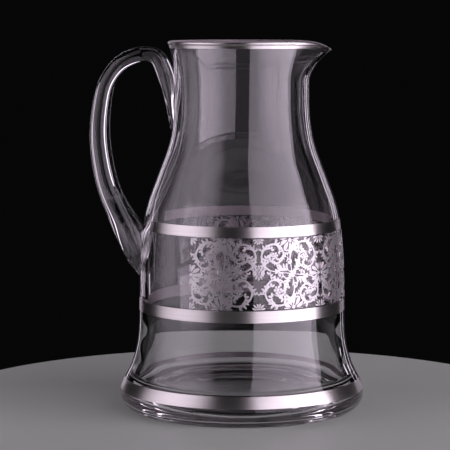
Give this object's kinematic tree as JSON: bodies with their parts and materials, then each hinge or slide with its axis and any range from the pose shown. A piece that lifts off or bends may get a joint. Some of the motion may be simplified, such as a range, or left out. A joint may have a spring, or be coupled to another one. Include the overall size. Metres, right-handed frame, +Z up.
{
  "type": "water pitcher",
  "caption": "Clear glass water jug with a loop handle and pouring spout, trimmed with silver bands and an openwork scroll frieze.",
  "frame": {"origin": "on the jug's axis, at the centre of the resting face", "axes": "+Z up along the jug's axis, +X towards the spout, the handle on the -X side"},
  "size_m": [0.1772, 0.1576, 0.2353],
  "materials": {
    "clear_glass": "polished clear",
    "handle_glass": "polished clear",
    "silver_band": "fine satin, brushed round the jug",
    "silver_scroll": "matt silver"
  },
  "bodies": {
    "root": {"glass_body": "clear_glass", "handle": "handle_glass", "rim_band": "silver_band", "shoulder_band": "silver_band", "waist_band": "silver_band", "foot_band": "silver_band", "scroll_panel_front": "silver_scroll", "scroll_panel_spout": "silver_scroll", "scroll_panel_back": "silver_scroll"}
  },
  "joints": []
}
